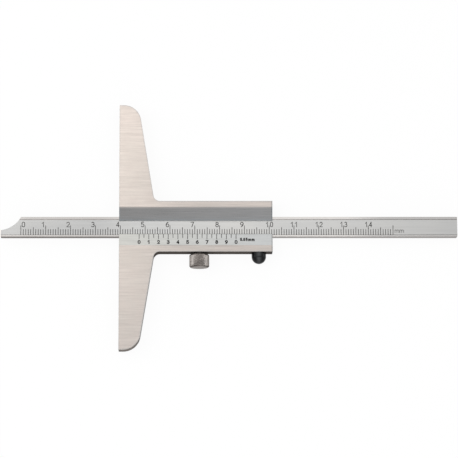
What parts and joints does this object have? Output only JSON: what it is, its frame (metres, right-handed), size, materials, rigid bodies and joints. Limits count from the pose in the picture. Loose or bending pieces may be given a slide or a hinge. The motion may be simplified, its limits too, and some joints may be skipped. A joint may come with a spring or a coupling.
{
  "type": "vernier depth gauge",
  "caption": "Flat T-shaped depth caliper: a tapered bridge and vernier slider with a graduated rod, a leaf spring, a knurled clamp screw and a domed thumb knob.",
  "frame": {"origin": "on the measuring face at the rod's centre line, at the gauge's back", "axes": "+X along the rod from the measuring face to the slider, +Y along the bridge, +Z from the back to the graduated front"},
  "size_m": [0.1841, 0.1, 0.008],
  "materials": {
    "body_steel": "fine brushed stainless steel, satin grey on the ground bevel and matt chrome on the vernier strip",
    "rod_steel": "matt chrome scale between two ground rails",
    "spring_steel": "blued spring steel",
    "knurled_steel": "turned and knurled steel",
    "black_plastic": "satin black plastic",
    "fastener_steel": "plain steel",
    "mark_ink": "dark filled engraving"
  },
  "bodies": {
    "slide_body": {"slide_body": "body_steel", "leaf_spring": "spring_steel", "thumb_knob": "black_plastic", "knob_pin": "fastener_steel"},
    "depth_rod": {"depth_rod": "rod_steel", "stop_plate": "fastener_steel", "stop_screws": "fastener_steel"},
    "clamp_screw": {"clamp_screw": "knurled_steel"}
  },
  "joints": [
    {"name": "rod_slide", "type": "slide", "parent": "slide_body", "child": "depth_rod", "axis": [-1, 0, 0], "range_m": [-0.0476, 0.0624]},
    {"name": "clamp_turn", "type": "hinge", "parent": "slide_body", "child": "clamp_screw", "pos_m": [0.0323, -0.01035, 0.00405], "axis": [0, -1, 0], "range_deg": [0, 180]}
  ]
}
